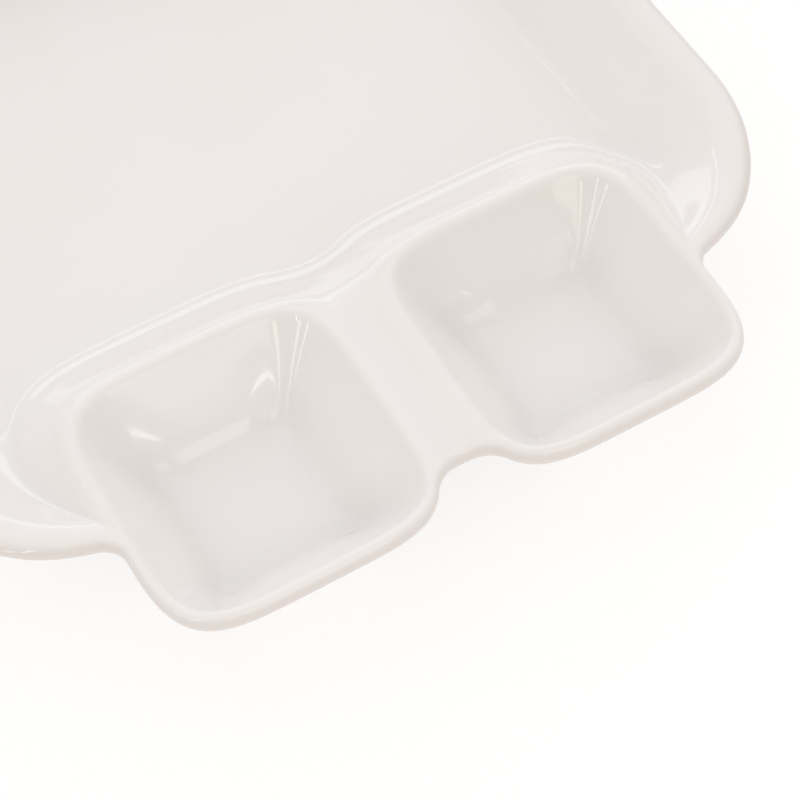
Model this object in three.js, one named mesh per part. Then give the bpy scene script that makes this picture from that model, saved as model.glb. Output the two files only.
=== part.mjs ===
// Chip and dip server: a glazed ceramic casting with one large tray for chips and two square wells for
// dips side by side at its front. The casting is modelled as the regions that a potter would name, each
// a closed solid with a hair-wide gap to the next, and the unglazed feet that it stands on.
//
// Millimetres, +Z up, +Y from the wells towards the back of the tray. The part's origin is on the table
// under the middle of its outline. The casting is worked out in a frame of its own, whose origin lies
// midway between the two wells in the plane of the rim.

import * as THREE from 'three';
import { mergeVertices } from 'three/addons/utils/BufferGeometryUtils.js';

// Overall
const SERVER_WIDTH = 304;
const SERVER_DEPTH = 305;
const RIM_HEIGHT = 36;

// Wells: rounded squares, measured to the crest of their rim
const WELL_PITCH = 110;
const WELL_HALF = 45;
const WELL_SQUARENESS = 4.77;
const WELL_LIP = 2.3;

// Tray: a rounded rectangle, measured to the outside of its rolled rim
const TRAY_CORNER = 67.5;
const TRAY_LIP = 5.5;
const TRAY_FRONT = -11.4;

// Where outlines run together: the wells behind the bridge and in front of it, and the wells and tray
const NECK_RADIUS = 40;
const NOTCH_RADIUS = 17;
const JOIN_RADIUS = 7;
const LIP_CHANGE = 30;

// Walls: how far each drops, how far in from the crest it reaches the flat, and the lengths over which
// its slope grows at the crest and dies away at the foot
const TRAY_WALL = { depth: 22, crest: 8, run: 43, foot: 14 };
const TRAY_WALL_UNDER = { depth: 20.5, crest: 6, run: 36, foot: 12 };
const WELL_WALL = { depth: 27, crest: 3, run: 27, foot: 8 };
const WELL_WALL_UNDER = { depth: 26.5, crest: 3, run: 22.5, foot: 7 };
const LIP_THICKNESS = 7;
const RIDGE_SLOPE = 1.1;
const RIDGE_CREST = 6;
const VALLEY_SHARPNESS = 5;

// The bridge between the wells dips a little below their rims
const BRIDGE_DIP = 1.8;
const BRIDGE_SHOULDER = 10;
const BRIDGE_REACH = 20;

// Feet: plain rings with an unglazed face
const FOOT_WIDTH = 5;
const TRAY_FOOT = { halfWidth: 98, front: 78, back: 204, corner: 26 };
const WELL_FOOT_HALF = 21;

const GAP = 0.3;

// A distance too small to matter, for slopes and for welding points, and what keeps a quotient finite
const TINY = 1e-3;
const NEARLY_NONE = 1e-9;

// How finely the solids are faceted
const RING_STEPS = { tray: 18, bridge: 26, open: 22 };
const TRAY_STEPS = { ring: 96, neck: 48, back: 8, corner: 8, side: 8, front: 10, join: 4 };
const TRAY_STATIONS = 13;
const BRIDGE_STATIONS = 8;
const EDGE_STATIONS = 5;
const FOOT_CORNER_STEPS = 6;
const WELL_FOOT_STEPS = 48;
const FINE_STEPS = 12;
const HALVINGS = 50;
const WELL_STATIONS = [0, 1.2, 2.4, 4, 9, 14, 19, 22, 24.5, 27];
const WELL_STATIONS_UNDER = [0, 2, 4, 9, 14, 18.5, 22.5];

const trayHalfWidth = SERVER_WIDTH / 2 - TRAY_LIP;
const trayFrontCrest = TRAY_FRONT + TRAY_LIP;
const wellRowY = -SERVER_DEPTH / 2 + WELL_HALF + WELL_LIP;
const trayBackCrest = SERVER_DEPTH / 2 - TRAY_LIP - wellRowY;
const trayCrestCorner = TRAY_CORNER - TRAY_LIP;
const trayBase = LIP_THICKNESS + TRAY_WALL_UNDER.depth;
const wellBase = LIP_THICKNESS + WELL_WALL_UNDER.depth;

const point = (x, y) => new THREE.Vector2(x, y);
const mirrored = (points) => points.map((p) => point(-p.x, p.y)).reverse();
const smooth = (t) => THREE.MathUtils.smoothstep(t, 0, 1);

// ---- Plan: distances from the outlines, in the casting's frame, positive outside ----

// The superellipse norm of a place seen from a well's centre, and how steeply it grows there
function squareNorm(x, y) {
  const n = WELL_SQUARENESS;
  const norm = Math.max((Math.abs(x) ** n + Math.abs(y) ** n) ** (1 / n), NEARLY_NONE);
  const growth = Math.hypot(Math.abs(x / norm) ** (n - 1), Math.abs(y / norm) ** (n - 1));
  return { norm, growth: growth || 1 };
}

function wellDistance(side, x, y) {
  const { norm, growth } = squareNorm(x - side * WELL_PITCH / 2, y);
  return (norm - WELL_HALF) / growth;
}

function trayDistance(x, y) {
  const middle = (trayFrontCrest + trayBackCrest) / 2;
  const halfDepth = (trayBackCrest - trayFrontCrest) / 2;
  const dx = Math.abs(x) - trayHalfWidth + trayCrestCorner;
  const dy = Math.abs(y - middle) - halfDepth + trayCrestCorner;
  return Math.hypot(Math.max(dx, 0), Math.max(dy, 0)) + Math.min(Math.max(dx, dy), 0) - trayCrestCorner;
}

// Distance from two outlines run together with a fillet of the given radius
function filleted(a, b, radius) {
  return Math.max(radius, Math.min(a, b)) - Math.hypot(Math.max(radius - a, 0), Math.max(radius - b, 0));
}

// Distance from the wells run together: by a wide fillet behind, and in front by the notch, a round
// that touches both crests
function neckDistance(x, y) {
  const left = wellDistance(-1, x, y);
  const right = wellDistance(1, x, y);
  if (y >= 0) return filleted(left, right, NECK_RADIUS);
  const rise = y - notch.y;
  const inNotch = rise > 0 && Math.abs(x) < rise * notch.spread;
  return inNotch ? NOTCH_RADIUS - Math.hypot(x, rise) : Math.min(left, right);
}

const outlineDistance = (x, y) => filleted(trayDistance(x, y), neckDistance(x, y), JOIN_RADIUS);

function outlineNormal(p) {
  const h = TINY;
  return point(
    outlineDistance(p.x + h, p.y) - outlineDistance(p.x - h, p.y),
    outlineDistance(p.x, p.y + h) - outlineDistance(p.x, p.y - h),
  ).normalize();
}

// ---- Height: how far the glaze lies below the plane of the rim ----

// A ramp that eases in from level over its first unit
const eased = (t) => (t <= 0 ? 0 : t >= 1 ? t - 0.5 : t * t / 2);

function fall(distance, { depth, crest, run, foot }) {
  const steepest = depth / (run - (crest + foot) / 2);
  return steepest * (crest * eased(distance / crest) - foot * eased((distance - run + foot) / foot));
}

const ridgeFall = (distance) => RIDGE_SLOPE * RIDGE_CREST * eased(distance / RIDGE_CREST);

// The lesser of two depths, with a soft valley where they meet and no depth where either is none
function shallower(a, b) {
  const n = VALLEY_SHARPNESS;
  return a * b / Math.max((a ** n + b ** n) ** (1 / n), NEARLY_NONE);
}

// The dip fades out at the wells' crests, and over its reach to the sides and past the neck's ends
function bridgeDip(x, y) {
  const clear = (side) => smooth(wellDistance(side, x, y) / BRIDGE_SHOULDER);
  const near = (distance) => 1 - smooth(distance / BRIDGE_REACH);
  return BRIDGE_DIP * clear(-1) * clear(1) * near(Math.abs(x)) * near(neckDistance(x, y));
}

function castTop({ x, y }) {
  return -shallower(fall(-trayDistance(x, y), TRAY_WALL), ridgeFall(neckDistance(x, y))) - bridgeDip(x, y);
}

function castUnder({ x, y }) {
  const depth = shallower(fall(-trayDistance(x, y), TRAY_WALL_UNDER), ridgeFall(neckDistance(x, y)));
  return -LIP_THICKNESS - depth - bridgeDip(x, y);
}

const wellTop = (side) => ({ x, y }) => -fall(-wellDistance(side, x, y), WELL_WALL);
const wellUnder = (side) => ({ x, y }) => -LIP_THICKNESS - fall(-wellDistance(side, x, y), WELL_WALL_UNDER);

// ---- Outlines, in even steps ----

// Where a function changes sign between two values, found by halving
function crossing(f, low, high) {
  const sign = Math.sign(f(low));
  for (let i = 0; i < HALVINGS; i++) {
    const middle = (low + high) / 2;
    if (Math.sign(f(middle)) === sign) low = middle;
    else high = middle;
  }
  return (low + high) / 2;
}

function evenly(curveAt, from, to, steps) {
  const fine = FINE_STEPS * steps;
  const points = Array.from({ length: fine + 1 }, (_, i) => curveAt(from + (to - from) * i / fine));
  return new THREE.SplineCurve(points).getSpacedPoints(steps);
}

// A place on a right-hand well's crest, at a bearing from the well's centre, a little outside by a margin
function crest(bearing, margin = 0) {
  const direction = point(Math.cos(bearing), Math.sin(bearing));
  const reach = (WELL_HALF + margin) / squareNorm(direction.x, direction.y).norm;
  return direction.multiplyScalar(reach).add(point(WELL_PITCH / 2, 0));
}

// The place on a level line of a distance function, at a bearing from a centre inside it
function onLevel(distance, level, centre, bearing) {
  const at = (r) => point(centre.x + r * Math.cos(bearing), centre.y + r * Math.sin(bearing));
  return at(crossing((r) => distance(at(r).x, at(r).y) - level, 0, 2 * WELL_HALF));
}

const deg = THREE.MathUtils.degToRad;

// The round that touches the right-hand well's crest at a bearing, and its mirror image: its radius is
// how far off the middle plane it touches, over how much the crest faces that plane
function touchingRound(bearing) {
  const at = crest(bearing);
  const out = at.clone().sub(point(WELL_PITCH / 2, 0));
  const steep = (t) => Math.sign(t) * Math.abs(t) ** (WELL_SQUARENESS - 1);
  const normal = point(steep(out.x), steep(out.y)).normalize();
  const radius = -at.x / normal.x;
  return { radius, y: at.y + normal.y * radius, spread: -normal.x / -normal.y };
}

const notch = touchingRound(crossing((b) => touchingRound(b).radius - NOTCH_RADIUS, deg(200), deg(260)));

// Bearings on the right-hand well's crest: where the neck's fillet leaves it behind, where the bridge
// ends in front or behind, and where the tray's outline comes within a limit of it
const neckBearing = (margin) =>
  crossing((b) => wellDistance(-1, ...crest(b, margin)) - NECK_RADIUS, deg(90), deg(180));
const bridgeBearing = (front) =>
  crossing((b) => neckDistance(...crest(b, GAP)), deg(front ? 270 : 90), deg(180));
const joinBearing = (margin, limit) =>
  crossing((b) => trayDistance(...crest(b, margin)) - limit, deg(-45), deg(10));

// ---- Solids ----

// The rows of a grid, lofted from one line of points to another
function loft(from, to, fractions) {
  return fractions.map((f) => from.map((p, i) => p.clone().lerp(to[i], f)));
}

// Stations from 0 to 1 that crowd towards both ends
const crowded = (count) => Array.from({ length: count }, (_, i) => (1 - Math.cos(Math.PI * i / (count - 1))) / 2);

// A closed solid from its grids of points. Seen from outside, each grid's columns run to the left of
// its rows' direction
function closedMesh(name, material, grids) {
  const position = [];
  const index = [];
  for (const rows of grids) {
    const first = position.length / 3;
    const width = rows[0].length;
    rows.flat().forEach((p) => position.push(p.x, p.y, p.z));
    for (let i = 0; i + 1 < rows.length; i++) {
      for (let j = 0; j + 1 < width; j++) {
        const a = first + i * width + j;
        index.push(a, a + 1, a + width + 1, a, a + width + 1, a + width);
      }
    }
  }
  const loose = new THREE.BufferGeometry();
  loose.setAttribute('position', new THREE.Float32BufferAttribute(position, 3));
  loose.setIndex(index);
  const merged = mergeVertices(loose, TINY);
  const corners = Array.from(merged.index.array);
  const kept = [];
  for (let i = 0; i < corners.length; i += 3) {
    const [a, b, c] = corners.slice(i, i + 3);
    if (a !== b && b !== c && c !== a) kept.push(a, b, c);
  }
  merged.setIndex(kept);
  merged.computeVertexNormals();
  const mesh = new THREE.Mesh(merged, material);
  mesh.name = name;
  return mesh;
}

// A region of the casting: its top, its underside, and an edge all round that bulges out as a round lip
// where it is open and stands straight where it meets its neighbour
function region(name, { plan, planUnder, top, under, loop }) {
  const lift = (p, z) => new THREE.Vector3(p.x, p.y, z);
  const topRows = plan.map((row) => row.map((p) => lift(p, top(p))));
  const underRows = planUnder.map((row) => row.map((p) => lift(p, under(p)))).reverse();
  const edgeRows = Array.from({ length: EDGE_STATIONS }, (_, i) => {
    const turn = Math.PI * i / (EDGE_STATIONS - 1);
    return loop.map(({ at, lip }) => {
      const place = lip ? outlineNormal(at).multiplyScalar(lip * Math.sin(turn)).add(at) : at;
      return lift(place, THREE.MathUtils.lerp(under(at), top(at), (1 - Math.cos(turn)) / 2));
    });
  });
  return closedMesh(name, glaze(), [topRows, underRows, edgeRows]);
}

const glaze = () => new THREE.MeshStandardMaterial({ color: 0xf0ebe8, roughness: 0.12, metalness: 0 });
const bareClay = () => new THREE.MeshStandardMaterial({ color: 0xe6dccd, roughness: 0.85, metalness: 0 });

const seam = (points) => points.map((at) => ({ at, lip: 0 }));

// An open stretch of the outline: its lip is slight at the wells and full round the tray, and each end
// is capped by a repeat of the end point with no lip
function openEdge(points) {
  const lipAt = ({ x, y }) =>
    THREE.MathUtils.lerp(WELL_LIP, TRAY_LIP, smooth(neckDistance(x, y) / LIP_CHANGE));
  const capped = points.map((at) => ({ at, lip: lipAt(at) }));
  return [...seam(points.slice(0, 1)), ...capped, ...seam(points.slice(-1))];
}

// The rings of a well's plan, inwards from its crest, with its middle as the last
function wellRings(ring, stations) {
  const centre = point(WELL_PITCH / 2, 0);
  const rings = stations.map((inset) => ring.map((p) => {
    const out = p.clone().sub(centre);
    const { norm, growth } = squareNorm(out.x, out.y);
    return out.multiplyScalar((norm - inset * growth) / norm).add(centre);
  }));
  return [...rings, ring.map(() => centre.clone())];
}

function dipWell(name, side) {
  const start = joinBearing(0, JOIN_RADIUS + GAP);
  const back = neckBearing(0);
  const front = bridgeBearing(true) + 2 * GAP / WELL_HALF;
  const trayArc = evenly(crest, start, back, RING_STEPS.tray);
  const bridgeArc = evenly(crest, back, front, RING_STEPS.bridge);
  const openArc = evenly(crest, front, start + 2 * Math.PI, RING_STEPS.open);
  const ring = [...trayArc, ...bridgeArc.slice(1), ...openArc.slice(1)];
  const flip = (rows) => (side > 0 ? rows : rows.map(mirrored));
  const loop = [...seam(trayArc), ...seam(bridgeArc), ...openEdge(openArc)];
  const loopFlipped = loop.map(({ at, lip }) => ({ at: point(-at.x, at.y), lip })).reverse();
  return region(name, {
    plan: flip(wellRings(ring, WELL_STATIONS)),
    planUnder: flip(wellRings(ring, WELL_STATIONS_UNDER)),
    top: wellTop(side),
    under: wellUnder(side),
    loop: side > 0 ? loop : loopFlipped,
  });
}

// The right half of the tray's open outline, from its join with the well round to the middle of the back
function trayOutline() {
  const right = trayHalfWidth;
  const corner = (cy, from, to, steps) =>
    evenly((b) => point(right - trayCrestCorner + trayCrestCorner * Math.cos(b),
      cy + trayCrestCorner * Math.sin(b)), from, to, steps);
  const frontCentre = trayFrontCrest + trayCrestCorner;
  const backCentre = trayBackCrest - trayCrestCorner;
  const inside = point(WELL_PITCH / 2 + WELL_HALF / 2, WELL_HALF / 2);
  const join = crest(joinBearing(GAP, JOIN_RADIUS), GAP);
  const cornerStart = crossing((b) => neckDistance(right - trayCrestCorner + trayCrestCorner * Math.cos(b),
    frontCentre + trayCrestCorner * Math.sin(b)) - JOIN_RADIUS, deg(-90), deg(-45));
  const front = corner(frontCentre, cornerStart, 0, TRAY_STEPS.front);
  const bearing = (p) => Math.atan2(p.y - inside.y, p.x - inside.x);
  const fillet = evenly((b) => onLevel(outlineDistance, 0, inside, b),
    bearing(join), bearing(front[0]), TRAY_STEPS.join);
  fillet[0] = join;
  const side = evenly((y) => point(right, y), frontCentre, backCentre, TRAY_STEPS.side);
  const backCorner = corner(backCentre, 0, Math.PI / 2, TRAY_STEPS.corner);
  const back = evenly((x) => point(x, trayBackCrest), right - trayCrestCorner, 0, TRAY_STEPS.back);
  return [...fillet, ...front.slice(1), ...side.slice(1), ...backCorner.slice(1), ...back.slice(1)];
}

// The right half of the tray's inner boundary, from the same join round the well to the back of the neck
function trayInner(steps) {
  const start = joinBearing(GAP, JOIN_RADIUS);
  const end = neckBearing(GAP);
  const ring = evenly((b) => crest(b, GAP), start, end, TRAY_STEPS.ring);
  const leaves = ring[ring.length - 1];
  const neck = evenly((b) => onLevel(neckDistance, GAP, point(0, 0), b),
    Math.atan2(leaves.y, leaves.x), Math.PI / 2, TRAY_STEPS.neck);
  return new THREE.SplineCurve([...ring, ...neck.slice(1)]).getSpacedPoints(steps);
}

function chipTray() {
  const outerHalf = trayOutline();
  const innerHalf = trayInner(outerHalf.length - 1);
  innerHalf[0] = outerHalf[0].clone();
  const outer = [...outerHalf, ...mirrored(outerHalf).slice(1)];
  const inner = [...innerHalf, ...mirrored(innerHalf).slice(1)];
  const plan = loft(outer, inner, crowded(TRAY_STATIONS));
  return region('chip_tray', {
    plan,
    planUnder: plan,
    top: castTop,
    under: castUnder,
    loop: [...openEdge(outer), ...seam([...inner].reverse())],
  });
}

// The bridge: a patch between the two wells' crests and the two fillets that close the neck
function wellBridge() {
  const right = evenly((b) => crest(b, GAP), bridgeBearing(true), bridgeBearing(false), RING_STEPS.bridge);
  const left = right.map((p) => point(-p.x, p.y));
  const across = (from, to) => evenly((b) => onLevel(neckDistance, 0, point(0, 0), b),
    Math.atan2(from.y, from.x), Math.atan2(to.y, to.x), BRIDGE_STATIONS);
  const last = right.length - 1;
  const frontHalf = right[0];
  const backHalf = right[last];
  const back = across(backHalf, left[last]).reverse();
  const front = across(left[0], frontHalf);
  [front[0], front[BRIDGE_STATIONS]] = [left[0], frontHalf];
  [back[0], back[BRIDGE_STATIONS]] = [left[last], backHalf];
  const plan = right.map((_, i) => front.map((_, j) => {
    const v = i / last;
    const u = j / BRIDGE_STATIONS;
    const sides = left[i].clone().lerp(right[i], u);
    const ends = front[j].clone().lerp(back[j], v);
    const corners = left[0].clone().lerp(right[0], u).lerp(left[last].clone().lerp(right[last], u), v);
    return sides.add(ends).sub(corners);
  }));
  return region('well_bridge', {
    plan,
    planUnder: plan,
    top: castTop,
    under: castUnder,
    loop: [...openEdge(front), ...seam(right), ...seam([...back].reverse()), ...seam([...left].reverse())],
  });
}

// A foot: the band between two outlines, standing on the table
function foot(name, outer, inner, height) {
  const shape = new THREE.Shape(outer);
  shape.holes.push(new THREE.Path(inner));
  const geometry = new THREE.ExtrudeGeometry(shape, { depth: height, bevelEnabled: false, steps: 1 });
  const mesh = new THREE.Mesh(geometry, bareClay());
  mesh.name = name;
  return mesh;
}

function roundedRectangle({ halfWidth, front, back, corner }, inset) {
  const radius = corner - inset;
  const turns = [[1, front, -90], [1, back, 0], [-1, back, 90], [-1, front, 180]];
  return turns.flatMap(([sx, y, start]) => Array.from({ length: FOOT_CORNER_STEPS + 1 }, (_, i) => {
    const bearing = deg(start + 90 * i / FOOT_CORNER_STEPS);
    const cx = sx * (halfWidth - corner);
    const cy = y === front ? front + corner : back - corner;
    return point(cx + radius * Math.cos(bearing), cy + radius * Math.sin(bearing));
  }));
}

function trayFoot() {
  const mesh = foot('tray_foot_ring', roundedRectangle(TRAY_FOOT, 0),
    roundedRectangle(TRAY_FOOT, FOOT_WIDTH), RIM_HEIGHT - trayBase - GAP);
  mesh.position.set(0, wellRowY, 0);
  return mesh;
}

function wellFoot(name, side) {
  const outline = (half) => Array.from({ length: WELL_FOOT_STEPS }, (_, i) => {
    const bearing = 2 * Math.PI * i / (WELL_FOOT_STEPS);
    const direction = point(Math.cos(bearing), Math.sin(bearing));
    return direction.multiplyScalar(half / squareNorm(direction.x, direction.y).norm);
  });
  const mesh = foot(name, outline(WELL_FOOT_HALF), outline(WELL_FOOT_HALF - FOOT_WIDTH),
    RIM_HEIGHT - wellBase - GAP);
  mesh.position.set(side * WELL_PITCH / 2, wellRowY, 0);
  return mesh;
}

const casting = new THREE.Group();
casting.position.set(0, wellRowY, RIM_HEIGHT);
casting.add(chipTray(), dipWell('left_dip_well', -1), dipWell('right_dip_well', 1), wellBridge());

const server = new THREE.Group();
server.add(casting, trayFoot(), wellFoot('left_well_foot', -1), wellFoot('right_well_foot', 1));

export default server;
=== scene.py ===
"""The looks of the chip and dip server: one glazed casting with a rolled rim, two dip wells, the bridge
between them and the unglazed foot rings that it stands on.

The casting is worked out as a plan and two heights. In plan it is bounded by the crest of the rim; over
each place of the plan the glaze's top and its underside have a height of their own, and round the plan
the lip bulges out between the two. Each region is a closed piece: a grid over its plan for the top, one
for the underside, and a band round its edge. The regions meet along crests, where the glaze is level,
and share their shading across the seams, so that the casting looks as whole as it is.
"""

import math

import bpy
import numpy as np
from mathutils import Matrix, Vector


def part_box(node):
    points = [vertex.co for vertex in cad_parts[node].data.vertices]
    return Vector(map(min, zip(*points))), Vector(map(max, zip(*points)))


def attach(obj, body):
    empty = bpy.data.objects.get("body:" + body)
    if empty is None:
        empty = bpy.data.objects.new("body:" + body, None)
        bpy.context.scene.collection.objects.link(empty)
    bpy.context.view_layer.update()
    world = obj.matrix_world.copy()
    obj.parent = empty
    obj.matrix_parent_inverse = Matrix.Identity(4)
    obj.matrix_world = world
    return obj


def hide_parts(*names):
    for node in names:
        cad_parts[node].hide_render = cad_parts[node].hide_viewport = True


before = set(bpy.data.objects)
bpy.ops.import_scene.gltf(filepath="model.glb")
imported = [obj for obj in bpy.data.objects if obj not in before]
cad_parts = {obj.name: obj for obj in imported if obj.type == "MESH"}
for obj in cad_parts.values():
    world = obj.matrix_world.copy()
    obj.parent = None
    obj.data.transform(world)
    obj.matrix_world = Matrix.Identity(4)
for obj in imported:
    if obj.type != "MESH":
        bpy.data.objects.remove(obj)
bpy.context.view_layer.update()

MM = 0.001

# Finish of the edges and walls, which the frame's boxes don't give
WELL_LIP = 2.3 * MM
TRAY_LIP = 5.5 * MM
WELL_SQUARENESS = 4.77
TRAY_CORNER = 67.5 * MM
TRAY_FRONT = -11.4 * MM
NECK_RADIUS = 40 * MM
NOTCH_RADIUS = 17 * MM
JOIN_RADIUS = 7 * MM
LIP_CHANGE = 30 * MM
LIP_THICKNESS = 7 * MM
TRAY_WALL = dict(depth=22 * MM, crest=8 * MM, run=43 * MM, foot=14 * MM)
TRAY_WALL_UNDER = dict(depth=20.5 * MM, crest=6 * MM, run=36 * MM, foot=12 * MM)
WELL_WALL = dict(depth=27 * MM, crest=3 * MM, run=27 * MM, foot=8 * MM)
WELL_WALL_UNDER = dict(depth=26.5 * MM, crest=3 * MM, run=22.5 * MM, foot=7 * MM)
RIDGE_SLOPE = 1.1
RIDGE_CREST = 6 * MM
VALLEY_SHARPNESS = 5
BRIDGE_DIP = 1.8 * MM
BRIDGE_SHOULDER = 10 * MM
BRIDGE_REACH = 20 * MM

# Places, from the frame
tray_low, tray_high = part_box("chip_tray")
well_low, well_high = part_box("right_dip_well")
RIM_HEIGHT = tray_high.z
WELL_HALF = (well_high.y - well_low.y - WELL_LIP) / 2
WELL_ROW_Y = well_high.y - WELL_HALF
WELL_X = well_low.x + WELL_HALF
TRAY_HALF_WIDTH = tray_high.x - TRAY_LIP
TRAY_FRONT_CREST = TRAY_FRONT + TRAY_LIP
TRAY_BACK_CREST = tray_high.y - TRAY_LIP - WELL_ROW_Y
CREST_CORNER = TRAY_CORNER - TRAY_LIP

# Fineness of the grids
RING_STEPS = dict(tray=150, bridge=100, open=170)
NECK_STEPS = 30
TRAY_STATIONS = 96
TRAY_STATIONS_UNDER = 60
WELL_STATIONS = 56
WELL_STATIONS_UNDER = 36
FLOOR_STATIONS = 12
LIP_STATIONS = 17
FOOT_STATIONS = 10
FOOT_CORNER_STEPS = 33
TRAY_CROWDING = 1.5
WELL_CROWDING = 1.15
FINE = 40
FILLET_STEPS = 400
CORNER_STEPS = 2000
HALVINGS = 60

# Places closer than this are one, the step for a slope, and what keeps a quotient finite
WELD = 1e-7
SLOPE_STEP = 1e-6
NEARLY_NONE = 1e-9
SHORTEST = 1e-30

# Feet
FOOT_WIDTH = 5 * MM
TRAY_FOOT_CORNER = 26 * MM
UNDER_TRAY = -LIP_THICKNESS - TRAY_WALL_UNDER["depth"]
UNDER_WELL = -LIP_THICKNESS - WELL_WALL_UNDER["depth"]
FOOT_TOE = 0.9 * MM
FOOT_TAPER = 0.4 * MM
FOOT_COVE = 2.4 * MM
FOOT_ROOT = 0.15 * MM

# Finishes
GLAZE_WHITE = (0.905, 0.885, 0.875)
GLAZE_CREAM = (0.895, 0.872, 0.855)
# Painted shade: the darker, brownish tone laid on the lip's outer face
LIP_SHADE_TONE = (0.77, 0.725, 0.70)
SPECK = (0.30, 0.24, 0.20)
CLAY_LIGHT = (0.72, 0.66, 0.57)
CLAY_DARK = (0.60, 0.53, 0.44)
CLAY_PIT = (0.38, 0.32, 0.26)
PAPER_LOW, PAPER_HIGH = (0.50, 0.50, 0.50), (0.52, 0.52, 0.52)
PAPER_GLOW = 0.53

# The attribute that holds the painted shade on the lip's outer face, and the share of the lip at which the
# shade starts
LIP_SHADE_ATTRIBUTE = "painted_lip_shade"
LIP_SHADE_FROM = 0.3

# Lights: the tent's glow, with the height along its axis at which it is dimmest, and soft boxes by
# name, bearing from the back towards the right, elevation, distance, width and height, brightness and
# colour
TENT_AXIS = (0.15, 0.50, 0.85)
TENT_LOW, TENT_HIGH = (0.50, 0.44, 0.39), (0.99, 0.985, 0.99)
TENT_DIM = -0.3
SOFT_BOXES = [
    ("front window", 172, 33, 1.2, (0.50, 0.62), 1.3, (1, 0.98, 0.92)),
    ("front sill", 172, 13, 1.2, (0.40, 0.035), 4.0, (1, 0.98, 0.92)),
    ("near post", -168, 18, 1.2, (0.10, 0.34), 3.0, (1, 0.95, 0.88)),
    ("far post", -118, 18, 1.2, (0.14, 0.34), 3.0, (1, 0.95, 0.88)),
    ("left strip", -125, 35, 1.2, (0.04, 0.40), 7.0, (1, 1, 1)),
    ("left pane", -98, 16, 1.2, (0.06, 0.40), 4.0, (1, 1, 1)),
    ("back panel", 24, 16, 1.4, (1.60, 0.30), 1.1, (1, 1, 1)),
    ("back line", 22, 31, 1.4, (1.40, 0.03), 3.0, (1, 1, 1)),
    ("high line", -41, 49, 1.3, (0.70, 0.012), 3.0, (1, 1, 1)),
    ("low line", -41, 45, 1.3, (0.70, 0.008), 2.5, (1, 1, 1)),
]

# Floor: the radii of its rings, and how many places are on each
FLOOR_RINGS = [6, 2, 0.5, 0]
FLOOR_PLACES = 97

# Camera: angles in degrees, its distance and aim in halves of the wells' spacing, and its lens in mm
CAMERA_PITCH = 56.538
CAMERA_YAW = 30.590
CAMERA_DISTANCE = 12.3282
CAMERA_AIM = (-0.12115, -0.10158)
CAMERA_LENS = 101.22


# ---- Plan: distances from the outlines, positive outside, with the origin midway between the wells ----


def smooth(t):
    """A step from 0 to 1 that is level at both ends: 3 t squared less 2 t cubed."""
    t = np.clip(t, 0, 1)
    return t * t * (3 - 2 * t)


def square_norm(x, y):
    """The superellipse norm (|x|^n + |y|^n)^(1/n), and the length of its gradient."""
    n = WELL_SQUARENESS
    norm = np.maximum((np.abs(x) ** n + np.abs(y) ** n) ** (1 / n), NEARLY_NONE)
    growth = np.hypot(np.abs(x / norm) ** (n - 1), np.abs(y / norm) ** (n - 1))
    return norm, np.where(growth > 0, growth, 1)


def well_distance(side, x, y):
    """How far a place is from a well's crest: the norm less the half width, over the norm's gradient."""
    norm, growth = square_norm(x - side * WELL_X, y)
    return (norm - WELL_HALF) / growth


def tray_distance(x, y):
    """The distance from a rectangle with round corners."""
    middle = (TRAY_FRONT_CREST + TRAY_BACK_CREST) / 2
    half_depth = (TRAY_BACK_CREST - TRAY_FRONT_CREST) / 2
    dx = np.abs(x) - TRAY_HALF_WIDTH + CREST_CORNER
    dy = np.abs(y - middle) - half_depth + CREST_CORNER
    beyond = np.hypot(np.maximum(dx, 0), np.maximum(dy, 0))
    return beyond + np.minimum(np.maximum(dx, dy), 0) - CREST_CORNER


def filleted(a, b, radius):
    """Two distances run together: max(r, min(a, b)) less the hypotenuse of what each is short of r."""
    short = np.hypot(np.maximum(radius - a, 0), np.maximum(radius - b, 0))
    return np.maximum(radius, np.minimum(a, b)) - short


def neck_distance(x, y):
    """The distance from the wells run together: by a wide fillet behind the bridge, and in front of it
    by the notch, a round that touches both crests, in the wedge that it fills."""
    left, right = well_distance(-1, x, y), well_distance(1, x, y)
    rise = y - NOTCH_Y
    in_notch = (rise > 0) & (np.abs(x) < rise * NOTCH_SPREAD)
    front = np.where(in_notch, NOTCH_RADIUS - np.hypot(x, rise), np.minimum(left, right))
    return np.where(y < 0, front, filleted(left, right, NECK_RADIUS))


def outline_distance(x, y):
    """The distance from the tray and the wells run together, by a small fillet at each join."""
    return filleted(tray_distance(x, y), neck_distance(x, y), JOIN_RADIUS)


def outline_normal(p):
    """The unit direction in which the outline's distance grows, by central differences."""
    h = SLOPE_STEP
    x, y = p[..., 0], p[..., 1]
    slope = np.stack([
        outline_distance(x + h, y) - outline_distance(x - h, y),
        outline_distance(x, y + h) - outline_distance(x, y - h),
    ], axis=-1)
    return slope / np.linalg.norm(slope, axis=-1, keepdims=True)


# ---- Heights, below the plane of the rim ----


def eased(t):
    """A ramp that eases in from level: t squared over 2 up to 1, and t less a half past it."""
    return np.where(t <= 0, 0, np.where(t >= 1, t - 0.5, t * t / 2))


def fall(distance, wall):
    """A wall's drop: its slope grows evenly over the crest, holds, and dies away evenly over the foot."""
    crest, run, foot = wall["crest"], wall["run"], wall["foot"]
    steepest = wall["depth"] / (run - (crest + foot) / 2)
    return steepest * (crest * eased(distance / crest) - foot * eased((distance - run + foot) / foot))


def ridge_fall(distance):
    """The ridge's drop behind the wells: it eases in over the crest and then holds its slope."""
    return RIDGE_SLOPE * RIDGE_CREST * eased(distance / RIDGE_CREST)


def shallower(a, b):
    """The lesser of two depths with a soft valley: a b / (a^n + b^n)^(1/n), and none where either is."""
    n = VALLEY_SHARPNESS
    a, b = a / MM, b / MM
    return MM * a * b / np.maximum((a**n + b**n) ** (1 / n), NEARLY_NONE)


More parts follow.
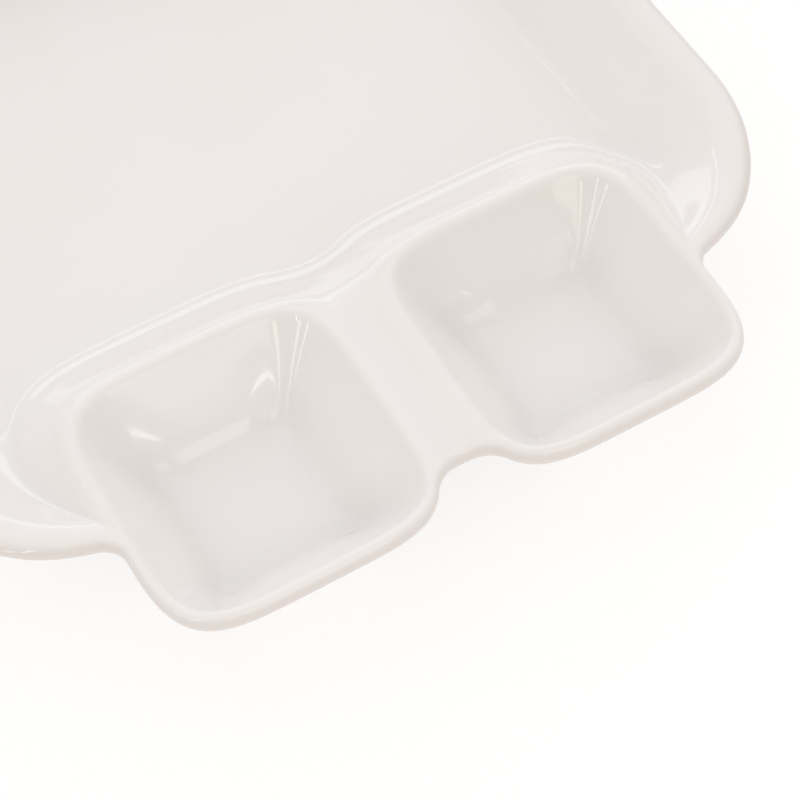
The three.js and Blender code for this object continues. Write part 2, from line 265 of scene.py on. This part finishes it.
def bridge_dip(x, y):
    """The dip of the bridge, which fades out at the wells' crests and past the neck's ends."""
    left, right = well_distance(-1, x, y), well_distance(1, x, y)
    clear = smooth(left / BRIDGE_SHOULDER) * smooth(right / BRIDGE_SHOULDER)
    near = (1 - smooth(np.abs(x) / BRIDGE_REACH)) * (1 - smooth(neck_distance(x, y) / BRIDGE_REACH))
    return BRIDGE_DIP * clear * near


def cast_top(x, y):
    """The tray's and bridge's top: the shallower of the tray's wall and the ridge, less the dip."""
    depth = shallower(fall(-tray_distance(x, y), TRAY_WALL), ridge_fall(neck_distance(x, y)))
    return -depth - bridge_dip(x, y)


def cast_under(x, y):
    """Their underside, a lip's thickness below, with a gentler wall."""
    depth = shallower(fall(-tray_distance(x, y), TRAY_WALL_UNDER), ridge_fall(neck_distance(x, y)))
    return -LIP_THICKNESS - depth - bridge_dip(x, y)


def well_heights(side):
    """The heights of a well's top and underside, as functions of a place."""
    return (
        lambda x, y: -fall(-well_distance(side, x, y), WELL_WALL),
        lambda x, y: -LIP_THICKNESS - fall(-well_distance(side, x, y), WELL_WALL_UNDER),
    )


# ---- Curves in plan, in even steps ----


def crossing(f, low, high):
    """Where a function changes sign between two values, or arrays of values, found by halving."""
    low, high = np.broadcast_arrays(np.asarray(low, float), np.asarray(high, float))
    low, high = low.copy(), high.copy()
    sign = np.sign(f(low))
    for _ in range(HALVINGS):
        middle = (low + high) / 2
        same = np.sign(f(middle)) == sign
        low, high = np.where(same, middle, low), np.where(same, high, middle)
    return (low + high) / 2


def respaced(points, shares):
    """The points at the given shares of a fine curve's length."""
    length = np.concatenate([[0], np.cumsum(np.linalg.norm(np.diff(points, axis=0), axis=1))])
    at = shares * length[-1]
    return np.stack([np.interp(at, length, points[:, 0]), np.interp(at, length, points[:, 1])], axis=1)


def even(steps):
    """Shares from 0 to 1, in even steps."""
    return np.linspace(0, 1, steps + 1)


def crowded(count):
    """Stations from 0 to 1 that crowd towards both ends: half of 1 less the cosine of an even turn."""
    return (1 - np.cos(np.pi * even(count - 1))) / 2


def crest(bearing):
    """The right well's crest at a bearing from its centre: the direction over its norm, times the half."""
    direction = np.stack([np.cos(bearing), np.sin(bearing)], axis=-1)
    norm, _ = square_norm(direction[..., 0], direction[..., 1])
    return direction * (WELL_HALF / norm)[..., None] + [WELL_X, 0]


def crest_arc(start, end, steps):
    """The right well's crest between two bearings, in steps of even length."""
    arc = respaced(crest(np.linspace(start, end, FINE * steps)), even(steps))
    arc[0], arc[-1] = crest(np.array(start)), crest(np.array(end))
    return arc


def on_level(distance, centre, bearings):
    """The points where a distance is nought, at bearings from a centre inside its outline."""
    direction = np.stack([np.cos(bearings), np.sin(bearings)], axis=-1)
    along = lambda r: distance(*(centre + direction * r[:, None]).T)
    reach = crossing(along, 0 * bearings, 3 * WELL_HALF)
    return centre + direction * reach[:, None]


def bearing_of(point, centre=(0, 0)):
    return math.atan2(point[1] - centre[1], point[0] - centre[0])


def mirrored(points):
    """The points over the plane between the wells, in the opposite order."""
    return (points * [-1, 1])[::-1]


def crest_bearing(distance, reach, low, high):
    """The bearing on the right well's crest at which a distance reaches a value."""
    short = lambda b: distance(*crest(b).T) - reach
    return float(crossing(short, math.radians(low), math.radians(high)))


def touching_round(bearing):
    """The round that touches the right well's crest at a bearing, and its mirror image. Its radius is
    how far off the middle plane it touches, over how much the crest faces that plane."""
    at = crest(np.asarray(bearing))
    out = at - [WELL_X, 0]
    steep = np.sign(out) * np.abs(out) ** (WELL_SQUARENESS - 1)
    normal = steep / np.linalg.norm(steep)
    radius = -at[0] / normal[0]
    return radius, at[1] + normal[1] * radius, normal[0] / normal[1]


FRONT_BEARING = float(crossing(
    lambda b: touching_round(b)[0] - NOTCH_RADIUS, math.radians(200), math.radians(260),
))
_, NOTCH_Y, NOTCH_SPREAD = touching_round(FRONT_BEARING)
JOIN_BEARING = crest_bearing(tray_distance, JOIN_RADIUS, -45, 10)
BACK_BEARING = crest_bearing(lambda x, y: well_distance(-1, x, y), NECK_RADIUS, 90, 180)
tray_arc = crest_arc(JOIN_BEARING, BACK_BEARING, RING_STEPS["tray"])
bridge_arc = crest_arc(BACK_BEARING, FRONT_BEARING, RING_STEPS["bridge"])
open_arc = crest_arc(FRONT_BEARING, 2 * math.pi + JOIN_BEARING, RING_STEPS["open"])
open_arc[-1] = tray_arc[0]


def neck_half(start, end_bearing):
    """The right half of an arc that ends the neck, from a well's crest to the plane between the wells."""
    bearings = np.linspace(bearing_of(start), end_bearing, FINE * NECK_STEPS)
    arc = respaced(on_level(neck_distance, np.zeros(2), bearings), even(NECK_STEPS))
    arc[0] = start
    arc[-1, 0] = 0
    return arc


back_arc = neck_half(tray_arc[-1], math.pi / 2)
front_arc = neck_half(bridge_arc[-1], -math.pi / 2)


def tray_outline(steps):
    """The right half of the tray's crest from its join with the well to the middle of the back: a small
    fillet off the well, then lines and quarter rounds. The steps are finest at the join."""
    corner_x = TRAY_HALF_WIDTH - CREST_CORNER
    front_y = TRAY_FRONT_CREST + CREST_CORNER
    back_y = TRAY_BACK_CREST - CREST_CORNER

    def corner(cy, start, end):
        b = np.linspace(start, end, CORNER_STEPS)
        return np.stack([corner_x + CREST_CORNER * np.cos(b), cy + CREST_CORNER * np.sin(b)], axis=1)

    start = float(crossing(
        lambda b: neck_distance(corner_x + CREST_CORNER * np.cos(b), front_y + CREST_CORNER * np.sin(b))
        - JOIN_RADIUS,
        -math.pi / 2, -math.pi / 4,
    ))
    front = corner(front_y, start, 0)
    inside = np.array([WELL_X + WELL_HALF / 2, WELL_HALF / 2])
    ends = bearing_of(tray_arc[0], inside), bearing_of(front[0], inside)
    bearings = np.linspace(*ends, FILLET_STEPS)
    fillet = on_level(outline_distance, inside, bearings)
    back = corner(back_y, 0, math.pi / 2)
    whole = np.concatenate([fillet, front[1:], back, [[0, TRAY_BACK_CREST]]])
    outline = respaced(whole, even(steps) ** TRAY_CROWDING)
    outline[0] = tray_arc[0]
    return outline


# ---- Grids to meshes ----


def grid(plan, height):
    """A plan grid of rows of places, lifted to a height worked out from x and y."""
    return np.concatenate([plan, height(plan[..., 0], plan[..., 1])[..., None]], axis=-1)


def edge_band(loop, lips, top, under):
    """The band round a region's edge: half an ellipse that bulges by the lip and drops by the thickness."""
    turn = np.pi * even(LIP_STATIONS - 1)[:, None]
    x, y = loop[:, 0], loop[:, 1]
    bulge = np.sin(turn)[..., None] * (outline_normal(loop) * lips[:, None])[None]
    z = under(x, y) + (top(x, y) - under(x, y)) * (1 - np.cos(turn)) / 2
    return np.concatenate([loop[None] + bulge, z[..., None]], axis=-1)


def lip_of(points):
    """How far the lip stands out: slight round the wells, and full a little way along the tray."""
    away = neck_distance(points[:, 0], points[:, 1])
    return WELL_LIP + (TRAY_LIP - WELL_LIP) * smooth(away / LIP_CHANGE)


def region(plan, plan_under, heights, open_edges, seams):
    """A region's grids: those that show (top, underside and lips) and those that meet a neighbour.
    An open edge's ends are closed off by a straight drop, which meets the neighbour's lip."""
    top, under = heights
    shown = [grid(plan, top), grid(plan_under, under)[::-1]]
    shown += [edge_band(edge, lip_of(edge), top, under) for edge in open_edges]
    hidden = [edge_band(seam, np.zeros(len(seam)), top, under) for seam in seams]
    for edge in open_edges:
        ends = edge[[0, 0, -1, -1]]
        lips = lip_of(ends) * [0, 1, 1, 0]
        both = edge_band(ends, lips, top, under)
        hidden += [both[:, :2], both[:, 2:]]
    return dict(shown=shown, hidden=hidden)


def well_region(side):
    """A well: rings at even depths in from the crest, then the floor's rings down to a point."""
    ring = np.concatenate([tray_arc, bridge_arc[1:], open_arc[1:]])

    def rings(wall, stations):
        inset = even(stations - 1) ** WELL_CROWDING * wall["run"]
        out = ring - [WELL_X, 0]
        norm, growth = square_norm(out[:, 0], out[:, 1])
        share = (norm - inset[:, None] * growth) / norm
        floor = share[-1] * np.linspace(1, 0, FLOOR_STATIONS)[1:, None]
        return out * np.concatenate([share, floor])[..., None] + [WELL_X, 0]

    plan, plan_under = rings(WELL_WALL, WELL_STATIONS), rings(WELL_WALL_UNDER, WELL_STATIONS_UNDER)
    open_edges, seams = [open_arc], [tray_arc, bridge_arc]
    if side < 0:
        flip = lambda rows: (rows * [-1, 1])[:, ::-1]
        plan, plan_under = flip(plan), flip(plan_under)
        open_edges, seams = [mirrored(e) for e in open_edges], [mirrored(s) for s in seams]
    return region(plan, plan_under, well_heights(side), open_edges, seams)


def tray_region():
    """The tray: a loft in plan from its crest to its inner boundary round the wells and the neck."""
    inner_half = np.concatenate([tray_arc, back_arc[1:]])
    outer_half = tray_outline(len(inner_half) - 1)
    outer = np.concatenate([outer_half, mirrored(outer_half)[1:]])
    inner = np.concatenate([inner_half, mirrored(inner_half)[1:]])

    def loft(stations):
        share = crowded(stations)[:, None, None]
        return outer + (inner - outer) * share

    return region(loft(TRAY_STATIONS), loft(TRAY_STATIONS_UNDER), (cast_top, cast_under),
                  [outer], [inner[::-1]])


def bridge_region():
    """The bridge: a patch blended between two crests and the two arcs that end the neck. A place is the
    mix of the crests plus the mix of the arcs, less the mix of the four corners. The mix from the
    front arc to the back one eases in and out, so that the rows follow the arcs."""
    right = bridge_arc[::-1]
    left = right * [-1, 1]
    back, front = (np.concatenate([half[:-1] * [-1, 1], half[::-1]]) for half in (back_arc, front_arc))
    v = smooth(np.linspace(0, 1, len(right)))[:, None, None]
    u = np.linspace(0, 1, len(front))[None, :, None]
    sides = left[:, None] * (1 - u) + right[:, None] * u
    ends = front[None] * (1 - v) + back[None] * v
    corners = (left[0] * (1 - u) + right[0] * u) * (1 - v) + (left[-1] * (1 - u) + right[-1] * u) * v
    plan = sides + ends - corners
    return region(plan, plan, (cast_top, cast_under), [front], [right, back[::-1], left[::-1]])


def foot_section(width, base):
    """A foot's section, from its inner top round to its outer top: a cove off the base, a side with a
    slight taper, and a small round on to the flat standing face. Gives how far out and how high."""
    cove = min(FOOT_COVE, base - FOOT_TOE)
    turn = np.pi / 2 * even(FOOT_STATIONS)
    side = width / 2
    out = np.concatenate([
        side + FOOT_TAPER + cove * (1 - np.sin(turn)),
        side - FOOT_TOE * (1 - np.cos(turn)),
    ])
    up = np.concatenate([base - cove * (1 - np.cos(turn)), FOOT_TOE * (1 - np.sin(turn))])
    return np.concatenate([-out, out[::-1]]), np.concatenate([up, up[::-1]])


def foot_region(outline, normals, width, base):
    """A foot: its section carried round a closed outline, and closed off just inside the casting."""
    def carried(out, up):
        rings = outline[None] + normals[None] * out[:, None, None]
        lifted = np.broadcast_to(up[:, None, None], rings.shape[:2] + (1,))
        return np.concatenate([rings, lifted], axis=-1)

    out, up = foot_section(width, base)
    root = base + FOOT_ROOT
    cap = carried(out[[-1, -1, 0, 0]], np.array([base, root, root, base]))
    return dict(shown=[carried(out, up)], hidden=[cap])


def tray_foot():
    """The ring under the tray: a rectangle with round corners, from its box in the frame."""
    low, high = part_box("tray_foot_ring")
    corner = TRAY_FOOT_CORNER - FOOT_WIDTH / 2
    b = np.linspace(0, np.pi / 2, FOOT_CORNER_STEPS)
    quarter = np.stack([np.cos(b), np.sin(b)], axis=1)
    middle = np.array([(low.x + high.x) / 2, (low.y + high.y) / 2])
    reach = np.array([high.x - low.x, high.y - low.y]) / 2 - TRAY_FOOT_CORNER
    turned = [quarter, quarter[:, ::-1] * [-1, 1], -quarter, quarter[:, ::-1] * [1, -1]]
    signs = [(1, 1), (-1, 1), (-1, -1), (1, -1)]
    normals = np.concatenate(turned + [turned[0][:1]])
    centres = np.concatenate([np.tile(middle + reach * s, (len(quarter), 1)) for s in signs])
    centres = np.concatenate([centres, centres[:1]])
    return foot_region(centres + corner * normals, normals, FOOT_WIDTH, RIM_HEIGHT + UNDER_TRAY)


def well_foot(node):
    """The ring under a well: a superellipse, from its box in the frame."""
    low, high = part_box(node)
    middle = np.array([(low.x + high.x) / 2, (low.y + high.y) / 2])
    half = (high.x - low.x) / 2 - FOOT_WIDTH / 2
    b = np.linspace(0, 2 * np.pi, 8 * FOOT_CORNER_STEPS)
    direction = np.stack([np.cos(b), np.sin(b)], axis=1)
    norm, _ = square_norm(*direction.T)
    steep = np.sign(direction) * np.abs(direction) ** (WELL_SQUARENESS - 1)
    normals = steep / np.linalg.norm(steep, axis=1, keepdims=True)
    normals[-1] = normals[0]
    outline = middle + direction * (half / norm)[:, None]
    outline[-1] = outline[0]
    return foot_region(outline, normals, FOOT_WIDTH, RIM_HEIGHT + UNDER_WELL)


def placed(grids):
    """The casting's grids, moved from its own frame to the part's."""
    shift = [0, WELL_ROW_Y, RIM_HEIGHT]
    return {kind: [g + shift for g in rows] for kind, rows in grids.items()}


def quads(rows, columns, first):
    """The faces of a grid whose points are numbered from a first one, row by row."""
    corner = first + np.arange(rows * columns).reshape(rows, columns)
    turns = [corner[:-1, :-1], corner[:-1, 1:], corner[1:, 1:], corner[1:, :-1]]
    return np.stack(turns, axis=-1).reshape(-1, 4)


def joined(grids):
    """All points of some grids, and their faces."""
    points = np.concatenate([g.reshape(-1, 3) for g in grids])
    firsts = np.cumsum([0] + [g.shape[0] * g.shape[1] for g in grids[:-1]])
    faces = np.concatenate([quads(g.shape[0], g.shape[1], first) for g, first in zip(grids, firsts)])
    return points, faces


def same_places(points):
    """One point for each place, and which of them each point is."""
    keys = np.round(points / WELD).astype(np.int64)
    _, kept, which = np.unique(keys, axis=0, return_index=True, return_inverse=True)
    return points[kept], which.ravel()


def face_normals(points, faces):
    """Each face's normal, as long as twice its area: the product of its diagonals."""
    a, b, c, d = (points[faces[:, i]] for i in range(4))
    return np.cross(c - a, d - b)


def shared_normals(regions):
    """Normals for every shown point, averaged over all the regions, so that seams don't show."""
    points, faces = joined([g for r in regions for g in r["shown"]])
    _, which = same_places(points)
    total = np.zeros((which.max() + 1, 3))
    normals = face_normals(points, faces)
    for corner in range(4):
        np.add.at(total, which[faces[:, corner]], normals)
    total /= np.maximum(np.linalg.norm(total, axis=1, keepdims=True), SHORTEST)
    return total[which]


def painted_lip_shade(places):
    """How much painted shade darkens the lip: none until a little way out on the lip, and fully
    where the lip stands out furthest."""
    plan = places[:, :2] - [0, WELL_ROW_Y]
    share = outline_distance(*plan.T) / lip_of(plan)
    return smooth((share - LIP_SHADE_FROM) / (1 - LIP_SHADE_FROM))


def piece(name, node, grids, normals, material):
    """A closed mesh from a region's grids: places that coincide are welded, and faces that have shrunk
    to an edge are dropped. Shown corners take the shared normals, hidden ones their face's own."""
    shown_points, shown_faces = joined(grids["shown"])
    hidden_points, hidden_faces = joined(grids["hidden"])
    points = np.concatenate([shown_points, hidden_points])
    faces = np.concatenate([shown_faces, hidden_faces + len(shown_points)])
    flat = face_normals(points, faces)
    flat /= np.maximum(np.linalg.norm(flat, axis=1, keepdims=True), SHORTEST)
    corner_normals = np.repeat(flat[:, None], 4, axis=1)
    corner_normals[: len(shown_faces)] = normals[shown_faces]
    places, which = same_places(points)
    corners = which[faces]
    kept = corners != np.roll(corners, 1, axis=1)
    uncrossed = (corners[:, 0] != corners[:, 2]) & (corners[:, 1] != corners[:, 3])
    whole = (kept.sum(axis=1) > 2) & uncrossed
    corners, kept, corner_normals = corners[whole], kept[whole], corner_normals[whole]
    sizes = kept.sum(axis=1)
    mesh = bpy.data.meshes.new(name)
    mesh.vertices.add(len(places))
    mesh.vertices.foreach_set("co", places.astype(np.float32).ravel())
    mesh.loops.add(int(sizes.sum()))
    mesh.loops.foreach_set("vertex_index", corners[kept].astype(np.int32))
    mesh.polygons.add(len(sizes))
    starts = np.concatenate([[0], np.cumsum(sizes)[:-1]])
    mesh.polygons.foreach_set("loop_start", starts.astype(np.int32))
    mesh.polygons.foreach_set("use_smooth", np.ones(len(sizes), bool))
    mesh.update(calc_edges=True)
    mesh.normals_split_custom_set(corner_normals[kept])
    # The share of painted shade on the lip, for each point
    lip_shading = mesh.attributes.new(LIP_SHADE_ATTRIBUTE, "FLOAT", "POINT")
    lip_shading.data.foreach_set("value", painted_lip_shade(places).astype(np.float32))
    mesh.materials.append(material)
    obj = bpy.data.objects.new(name, mesh)
    bpy.context.scene.collection.objects.link(obj)
    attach(obj, "root")
    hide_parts(node)
    return obj


# ---- Materials ----


def new_material(name):
    """A material, its nodes and links, its shader, and the place on the object that its patterns use."""
    material = bpy.data.materials.new(name)
    material.use_nodes = True
    nodes, links = material.node_tree.nodes, material.node_tree.links
    shader = nodes["Principled BSDF"]
    place = nodes.new("ShaderNodeTexCoord").outputs["Object"]
    return material, nodes, links, shader, place


def noise(nodes, links, place, scale, detail=2.0, roughness=0.5):
    """A noise of so many waves a metre."""
    texture = nodes.new("ShaderNodeTexNoise")
    texture.inputs["Scale"].default_value = scale
    texture.inputs["Detail"].default_value = detail
    texture.inputs["Roughness"].default_value = roughness
    links.new(place, texture.inputs["Vector"])
    return texture.outputs["Fac"]


def stretched(nodes, links, value, from_low, from_high, to_low, to_high):
    """A value carried from one range to another, and held at its ends."""
    node = nodes.new("ShaderNodeMapRange")
    node.inputs["From Min"].default_value = from_low
    node.inputs["From Max"].default_value = from_high
    node.inputs["To Min"].default_value = to_low
    node.inputs["To Max"].default_value = to_high
    links.new(value, node.inputs["Value"])
    return node.outputs["Result"]


def mixed(nodes, links, share, first, second):
    """Two colours mixed; each is a colour or a socket."""
    node = nodes.new("ShaderNodeMix")
    node.data_type = "RGBA"
    links.new(share, node.inputs["Factor"])
    for socket, colour in ((node.inputs[6], first), (node.inputs[7], second)):
        if isinstance(colour, tuple):
            socket.default_value = (*colour, 1)
        else:
            links.new(colour, socket)
    return node.outputs[2]


def maths(nodes, links, operation, first, second):
    """One piece of arithmetic on two values; each is a number or a socket."""
    node = nodes.new("ShaderNodeMath")
    node.operation = operation
    for socket, value in zip(node.inputs, (first, second)):
        if isinstance(value, (int, float)):
            socket.default_value = value
        else:
            links.new(value, socket)
    return node.outputs[0]


def bumped(nodes, links, height, distance, after=None):
    """A normal tilted by a height, which stands for a distance, on top of another tilt if one is given."""
    node = nodes.new("ShaderNodeBump")
    node.inputs["Strength"].default_value = 1
    node.inputs["Distance"].default_value = distance
    links.new(height, node.inputs["Height"])
    if after is not None:
        links.new(after, node.inputs["Normal"])
    return node.outputs["Normal"]


def specks(nodes, links, place, scale, size, share):
    """Round specks: the middle of a few of the cells of a Voronoi pattern, picked by the cell's colour."""
    cells = nodes.new("ShaderNodeTexVoronoi")
    cells.inputs["Scale"].default_value = scale
    links.new(place, cells.inputs["Vector"])
    near = stretched(nodes, links, cells.outputs["Distance"], 0.6 * size * scale, size * scale, 1, 0)
    colour = nodes.new("ShaderNodeSeparateColor")
    links.new(cells.outputs["Color"], colour.inputs["Color"])
    picked = maths(nodes, links, "LESS_THAN", colour.outputs[0], share)
    return maths(nodes, links, "MULTIPLY", near, picked)


def glaze_colour(nodes, links, place):
    """Warm white, a little creamier where the glaze clouds, darkened by painted shade on the lip's outer
    face, with sparse iron specks under it.
    """
    cloud = stretched(nodes, links, noise(nodes, links, place, 14, 3), 0.35, 0.65, 0, 1)
    colour = mixed(nodes, links, cloud, GLAZE_WHITE, GLAZE_CREAM)
    lip_shading = nodes.new("ShaderNodeAttribute")
    lip_shading.attribute_name = LIP_SHADE_ATTRIBUTE
    # Painted shade: the lip's outer face turns to the darker, brownish tone
    colour = mixed(nodes, links, lip_shading.outputs["Fac"], colour, LIP_SHADE_TONE)
    return mixed(nodes, links, specks(nodes, links, place, 55, 0.35 * MM, 0.02), colour, SPECK)


def glaze_wave(nodes, links, place):
    """The slow wave that a poured and fired glaze keeps, and a finer ripple on it."""
    slow = bumped(nodes, links, noise(nodes, links, place, 26, 1), 0.08 * MM)
    return bumped(nodes, links, noise(nodes, links, place, 160, 1), 0.002 * MM, slow)


def glaze():
    material, nodes, links, shader, place = new_material("white_glaze")
    links.new(glaze_colour(nodes, links, place), shader.inputs["Base Color"])
    gloss = stretched(nodes, links, noise(nodes, links, place, 40, 3), 0.3, 0.7, 0.05, 0.09)
    links.new(gloss, shader.inputs["Roughness"])
    links.new(glaze_wave(nodes, links, place), shader.inputs["Normal"])
    return material


def glazed_foot():
    """The foot: glaze on its sides, wiped off its standing face, where the clay is bare and sanded."""
    material, nodes, links, shader, place = new_material("wiped_foot")
    height = nodes.new("ShaderNodeSeparateXYZ")
    links.new(place, height.inputs["Vector"])
    wobble = stretched(nodes, links, noise(nodes, links, place, 120, 3), 0.3, 0.7, 0.5 * MM, 1.1 * MM)
    above = maths(nodes, links, "SUBTRACT", height.outputs["Z"], wobble)
    covered = stretched(nodes, links, above, -0.08 * MM, 0.08 * MM, 0, 1)
    grain = noise(nodes, links, place, 1800, 4, 0.7)
    clay = mixed(nodes, links, stretched(nodes, links, grain, 0.3, 0.7, 0, 1), CLAY_LIGHT, CLAY_DARK)
    wear = specks(nodes, links, place, 500, 0.5 * MM, 0.1)
    clay = mixed(nodes, links, wear, clay, CLAY_PIT)
    colour = mixed(nodes, links, covered, clay, glaze_colour(nodes, links, place))
    links.new(colour, shader.inputs["Base Color"])
    links.new(stretched(nodes, links, covered, 0, 1, 0.85, 0.08), shader.inputs["Roughness"])
    rough = maths(nodes, links, "MULTIPLY", grain, maths(nodes, links, "SUBTRACT", 1, covered))
    step = bumped(nodes, links, covered, 0.12 * MM, glaze_wave(nodes, links, place))
    links.new(bumped(nodes, links, rough, 0.15 * MM, step), shader.inputs["Normal"])
    return material


def floor_material():
    """White paper lit from below as well as from above, so that shadows on it stay light."""
    material, nodes, links, shader, place = new_material("pale_floor")
    tone = stretched(nodes, links, noise(nodes, links, place, 3, 2), 0.3, 0.7, 0, 1)
    links.new(mixed(nodes, links, tone, PAPER_LOW, PAPER_HIGH), shader.inputs["Base Color"])
    shader.inputs["Roughness"].default_value = 0.9
    shader.inputs["Emission Color"].default_value = (1, 1, 1, 1)
    shader.inputs["Emission Strength"].default_value = PAPER_GLOW
    return material


# ---- Stage ----


def make_floor():
    """A round sheet of paper under the dish: rings of points out from the middle."""
    b = np.linspace(0, 2 * np.pi, FLOOR_PLACES)
    reach = np.array(FLOOR_RINGS)[:, None]
    rows = np.stack([reach * np.cos(b), reach * np.sin(b), 0 * reach * b], axis=-1)
    points, faces = joined([rows])
    mesh = bpy.data.meshes.new("floor")
    mesh.from_pydata(points.tolist(), [], faces.tolist())
    mesh.materials.append(floor_material())
    obj = bpy.data.objects.new("floor", mesh)
    bpy.context.scene.collection.objects.link(obj)


def soft_box(name, bearing, elevation, distance, size, radiance, colour):
    """A rectangular soft box that faces the wells from a direction. Its power is pi times its area
    times the brightness of its face."""
    data = bpy.data.lights.new(name, "AREA")
    data.shape = "RECTANGLE"
    data.size, data.size_y = size
    data.energy = math.pi * size[0] * size[1] * radiance
    data.color = colour
    a, e = math.radians(bearing), math.radians(elevation)
    toward = Vector((math.sin(a) * math.cos(e), math.cos(a) * math.cos(e), math.sin(e)))
    obj = bpy.data.objects.new(name, data)
    obj.location = Vector((0, WELL_ROW_Y, RIM_HEIGHT)) + toward * distance
    obj.rotation_mode = "QUATERNION"
    obj.rotation_quaternion = toward.to_track_quat("Z", "Y")
    bpy.context.scene.collection.objects.link(obj)


def make_sky():
    """A tent of white cloth: warm and dim at the front's foot, and evenly whiter towards a point up
    and back."""
    world = bpy.data.worlds.new("studio")
    world.use_nodes = True
    nodes, links = world.node_tree.nodes, world.node_tree.links
    along = nodes.new("ShaderNodeVectorMath")
    along.operation = "DOT_PRODUCT"
    along.inputs[1].default_value = Vector(TENT_AXIS).normalized()
    links.new(nodes.new("ShaderNodeTexCoord").outputs["Generated"], along.inputs[0])
    share = stretched(nodes, links, along.outputs["Value"], TENT_DIM, 1, 0, 1)
    links.new(mixed(nodes, links, share, TENT_LOW, TENT_HIGH), nodes["Background"].inputs["Color"])
    bpy.context.scene.world = world


def make_lights():
    """The tent and the soft boxes, shown by the plain display transform."""
    make_sky()
    for box in SOFT_BOXES:
        soft_box(*box)
    bpy.context.scene.view_settings.view_transform = "Standard"


def make_camera():
    """A long lens that looks down on the wells from their front left. Its aim and distance are in
    halves of the wells' spacing, from the middle between them."""
    pitch, yaw = math.radians(CAMERA_PITCH), math.radians(CAMERA_YAW)
    level = np.array([math.sin(yaw), math.cos(yaw), 0])
    forward = math.cos(pitch) * level - math.sin(pitch) * np.array([0, 0, 1])
    right = np.array([math.cos(yaw), -math.sin(yaw), 0])
    up = np.cross(right, forward)
    aim = np.array([0, WELL_ROW_Y, RIM_HEIGHT]) + WELL_X * np.array([*CAMERA_AIM, 0])
    data = bpy.data.cameras.new("camera")
    data.lens = CAMERA_LENS
    camera = bpy.data.objects.new("camera", data)
    turned = np.eye(4)
    turned[:3, 0], turned[:3, 1], turned[:3, 2] = right, up, -forward
    turned[:3, 3] = aim - forward * CAMERA_DISTANCE * WELL_X
    camera.matrix_world = Matrix(turned.tolist())
    bpy.context.scene.collection.objects.link(camera)
    bpy.context.scene.camera = camera


make_camera()
make_floor()
make_lights()

casting = {
    "chip_tray": placed(tray_region()),
    "left_dip_well": placed(well_region(-1)),
    "right_dip_well": placed(well_region(1)),
    "well_bridge": placed(bridge_region()),
}
feet = {
    "tray_foot_ring": tray_foot(),
    "left_well_foot": well_foot("left_well_foot"),
    "right_well_foot": well_foot("right_well_foot"),
}
white_glaze, wiped_foot = glaze(), glazed_foot()
normals = shared_normals(list(casting.values()))
used = 0
for node, grids in casting.items():
    count = sum(g.shape[0] * g.shape[1] for g in grids["shown"])
    piece("glazed_" + node, node, grids, normals[used:used + count], white_glaze)
    used += count
for node, grids in feet.items():
    piece("fired_" + node, node, grids, shared_normals([grids]), wiped_foot)
